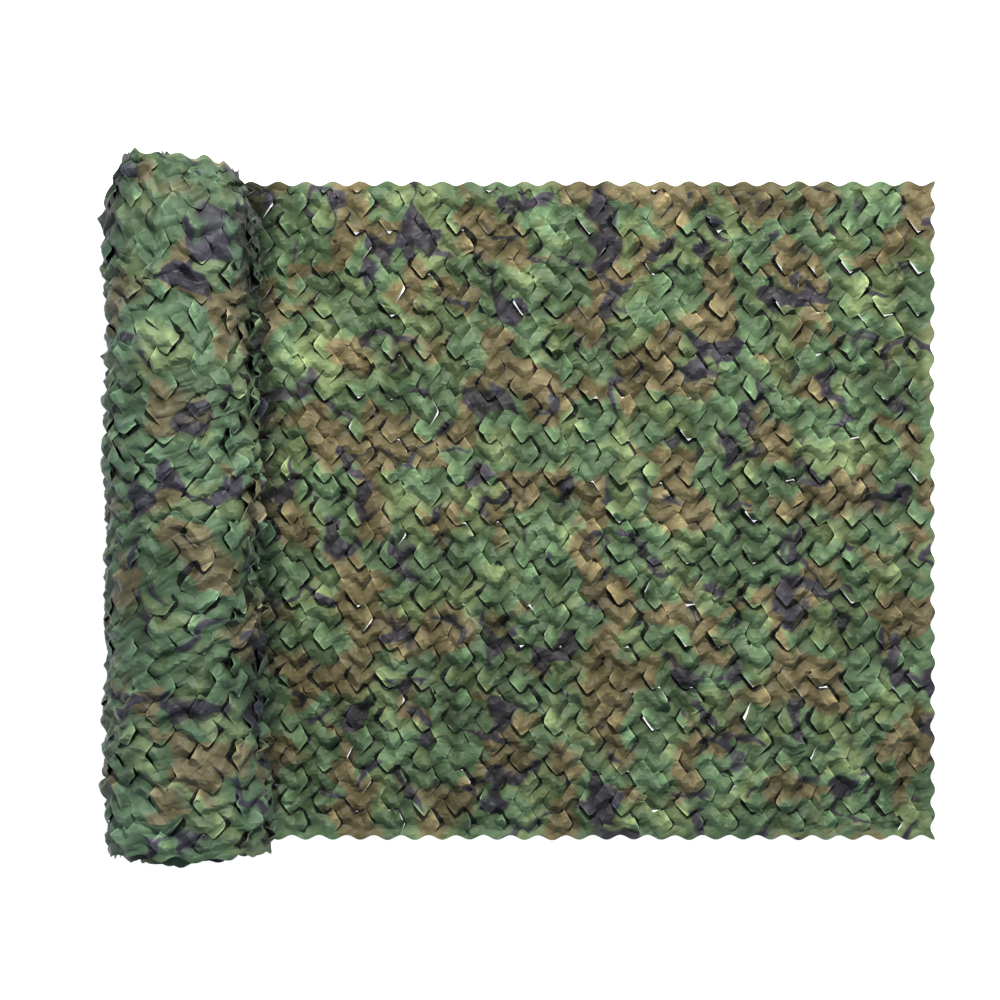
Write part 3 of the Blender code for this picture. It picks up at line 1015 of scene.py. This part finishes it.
def cloth_tone_and_painted_shade(graph, drawing, wound):
    """Light and dark over the print: random blotches and patches, the weave, and painted shade in the
    gaps, in deep places and on the leaves, with painted highlights on their rims.
    """
    blotch = graph.noise(drawing, scale=30.0, detail=3.0, roughness=0.6)
    blotch = graph.between(blotch, 0.25, 0.75, 0.80, 1.20)
    patch = graph.between(graph.noise(drawing, scale=4.5, detail=1.0), 0.30, 0.70, 0.77, 1.25)
    weave = graph.between(graph.noise(drawing, scale=900.0, detail=1.0), 0.3, 0.7, 0.94, 1.06)
    # Painted shade in the gaps beside the leaves, with a ragged edge.
    ragged = graph.math("SUBTRACT", graph.noise(drawing, scale=36.0), 0.5)
    gap = graph.plus(graph.attribute("gap"), graph.times(ragged, 1.3))
    gap = graph.between(gap, -0.05, 0.14, 1.0, GAP_SHADE_DARKNESS)
    # Painted shade in deep places: the crease, the roll's sides and underside, its far end, the inner
    # turn and the coil's ends.
    depth = graph.math("SUBTRACT", 1.0, graph.times(graph.attribute("depth"), PAINTED_SHADE_DARKNESS))
    # Painted light and shade of the leaves and of low and high cloth.
    leaf = graph.plus(1.0, graph.times(graph.attribute("tone"), PAINTED_SHADE_STRENGTH))
    # Painted highlight on the raised rims of the leaves.
    edge = graph.plus(1.0, graph.times(graph.attribute("rim"), RIM_HIGHLIGHT_STRENGTH))
    tone = graph.times(blotch, weave)
    for factor in (patch, gap, depth, leaf, edge):
        tone = graph.times(tone, factor)
    tinted = graph.add("ShaderNodeCombineColor")
    # Tints of the painted shade: bluer in deep shade, less blue in dark tones, and darker and bluer on
    # the roll.
    for channel, (deep, dull, roll) in SHADE_TINTS.items():
        hue = graph.between(graph.attribute("depth"), 0.0, 1.0, 1.0, deep)
        hue = graph.times(hue, graph.between(tone, 0.15, 1.0, dull, 1.0))
        hue = graph.times(hue, graph.between(wound, 0.0, 1.0, 1.0, roll))
        graph.link(graph.times(tone, hue), tinted.inputs[channel])
    return tinted.outputs["Color"]


def cloth_bump(graph, drawing, wound):
    """Creases, slanting pleats and threads of the cloth."""
    small = graph.valleys(drawing, scale=44.0, detail=1.0, distortion=0.3)
    crease = graph.plus(graph.valleys(drawing, scale=17.0, detail=0.6, distortion=0.5),
                        graph.times(small, SMALL_CREASE_STRENGTH))
    slanted = graph.add("ShaderNodeMapping", vector_type="TEXTURE")
    graph.link(graph.uv("creases"), slanted.inputs["Vector"])
    set_inputs(slanted, {"Rotation": (0.0, 0.0, WRINKLE_SLANT), "Scale": (WRINKLE_STRETCH, 1.0, 1.0)})
    pleat = graph.valleys(slanted.outputs["Vector"], scale=34.0, detail=0.6, distortion=0.2)
    strength = graph.between(wound, 0.0, 1.0, LAID_WRINKLES, WOUND_WRINKLES)
    pleat = graph.times(graph.times(pleat, strength), PLEAT_STRENGTH)
    thread = graph.times(graph.noise(drawing, scale=700.0, detail=1.0), THREAD_STRENGTH)
    bump = graph.add("ShaderNodeBump")
    set_inputs(bump, {"Strength": 0.8, "Distance": 0.018})
    graph.link(graph.plus(graph.plus(crease, pleat), thread), bump.inputs["Height"])
    return bump.outputs["Normal"]


def printed_cloth_with_painted_shade(name):
    """Coated polyester with the print, creases, a fine weave, and painted shade in its gaps, in deep
    places and on its leaves, with painted highlights on leaf rims.
    """
    graph = Graph(name)
    drawing, wound = graph.uv("drawing"), graph.attribute("wound")
    colour = print_colour(graph, drawing, wound)
    colour = graph.mix(1.0, colour, cloth_tone_and_painted_shade(graph, drawing, wound), "MULTIPLY")
    roughness = graph.between(graph.noise(drawing, scale=60.0), 0.3, 0.7, 0.46, 0.64)
    graph.link(colour, graph.shader.inputs["Base Color"])
    graph.link(roughness, graph.shader.inputs["Roughness"])
    graph.link(cloth_bump(graph, drawing, wound), graph.shader.inputs["Normal"])
    set_inputs(graph.shader, {"Specular IOR Level": 0.30, "Sheen Weight": 0.05})
    return graph.material


# ---- the net

def make_net():
    """All pieces of the one cloth, each hidden seam lying under the roll or inside it."""
    cloth = printed_cloth_with_painted_shade("printed_cloth_with_painted_shade")
    half = NET_WIDTH / 2

    drawing = Drawing(SEAM_X, RIGHT_X, -half, half, ("low", "high", "right"))
    points, triangles, spots = drawing.triangulate(GRID_STEP)
    loose = cloth_piece("net_loose_end", triangles, *lay_flat(drawing, points, spots), cloth)

    turn_end = FOOT_LEFT_X - OUTER_TURN_RUN / WOUND_STRETCH
    drawing = Drawing(turn_end, SEAM_X + SEAM_OVERLAP, -half, half, ("low", "high"))
    points, triangles, spots = drawing.triangulate(WOUND_GRID_STEP)
    places, marks = wind_up(drawing, points, spots, WOUND_RELIEF, 1.0)
    outer = cloth_piece("net_outer_turn", triangles, places, marks, cloth)

    backing_end = turn_end - BACKING_RUN / WOUND_STRETCH
    drawing = Drawing(backing_end, turn_end, -half + END_STRIP, half - END_STRIP, ())
    points, triangles, spots = drawing.triangulate(BACKING_STEP, with_slits=False)
    places, marks = wind_up(drawing, points, spots, INNER_RELIEF, INNER_LUMPS)
    # The second turn lies inside the roll, all of it in painted shade.
    marks["depth"] = np.ones(len(points))
    backing = cloth_piece("net_second_turn", triangles, places, marks, cloth)

    coils = []
    coil_low = FOOT_LEFT_X - WINDING.run[-1] / WOUND_STRETCH
    coil_high = turn_end + SEAM_OVERLAP
    for name, low, high, side in (("net_coil_front", -half, -half + END_STRIP, "low"),
                                  ("net_coil_back", half - END_STRIP, half, "high")):
        drawing = Drawing(coil_low, coil_high, low, high, (side,))
        points, triangles, spots = drawing.triangulate(GRID_STEP)
        places, marks = wind_up(drawing, points, spots, INNER_RELIEF, COIL_LUMPS)
        # Painted shade deepening from each end of the coil inwards.
        marks["depth"] = rise(half - np.abs(points[:, 1]), *COIL_END_PAINTED_SHADE)
        coils.append(cloth_piece(name, triangles, places, marks, cloth))

    parts = [(loose, "net_sheet", "cloth_flat")]
    parts += [(piece, "net_roll", "cloth_wound") for piece in (outer, backing, *coils)]
    for piece, stands_for, slot in parts:
        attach(piece, "root")
        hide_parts(stands_for)


# ---- floor, light and camera

def make_floor():
    """A pale floor that glows a little, so that it stays white round the net."""
    floor = add_object("floor", bpy.data.meshes.new("floor"))
    corners = [(FLOOR_REACH * x, FLOOR_REACH * y, 0) for x, y in ((-1, -1), (1, -1), (1, 1), (-1, 1))]
    floor.data.from_pydata(corners, [], [(0, 1, 2, 3)])
    graph = Graph("floor_paint")
    place = graph.add("ShaderNodeTexCoord").outputs["Object"]
    graph.link(graph.mix(graph.noise(place, scale=3.0), *FLOOR_TONES), graph.shader.inputs["Base Color"])
    set_inputs(graph.shader, {"Roughness": 0.9, "Specular IOR Level": 0.1,
                              "Emission Color": (1.0, 1.0, 1.0, 1.0), "Emission Strength": FLOOR_GLOW})
    floor.data.materials.append(graph.material)


def make_sky():
    """Soft light from all round, brightest overhead."""
    world = bpy.data.worlds.new("studio")
    bpy.context.scene.world = world
    world.use_nodes = True
    nodes, links = world.node_tree.nodes, world.node_tree.links
    direction = nodes.new("ShaderNodeTexCoord")
    split = nodes.new("ShaderNodeSeparateXYZ")
    ramp = nodes.new("ShaderNodeMapRange")
    set_inputs(ramp, {"From Min": 0.0, "From Max": 1.0, "To Min": SKY_AT_HORIZON, "To Max": SKY_OVERHEAD})
    links.new(direction.outputs["Generated"], split.inputs["Vector"])
    links.new(split.outputs["Z"], ramp.inputs["Value"])
    links.new(ramp.outputs["Result"], nodes["Background"].inputs["Strength"])
    set_inputs(nodes["Background"], {"Color": SKY_COLOUR})


def make_lamp():
    """The key light, a soft lamp turned to the frame's origin."""
    light = bpy.data.lights.new("key", "AREA")
    light.energy = KEY_POWER
    light.size = KEY_SIZE
    light.color = KEY_COLOUR
    lamp = add_object("key", light)
    lamp.location = KEY_PLACE
    lamp.rotation_mode = "QUATERNION"
    lamp.rotation_quaternion = (-Vector(KEY_PLACE)).to_track_quat("-Z", "Y")


def make_camera():
    """A camera straight above the net, whose view is VIEW_WIDTH wide at the ground."""
    camera = add_object("camera", bpy.data.cameras.new("camera"))
    camera.location = CAMERA_PLACE
    camera.data.angle = 2 * math.atan(VIEW_WIDTH / 2 / CAMERA_PLACE[2])
    bpy.context.scene.camera = camera
    bpy.context.scene.view_settings.view_transform = "Standard"


make_net()
make_floor()
make_sky()
make_lamp()
make_camera()
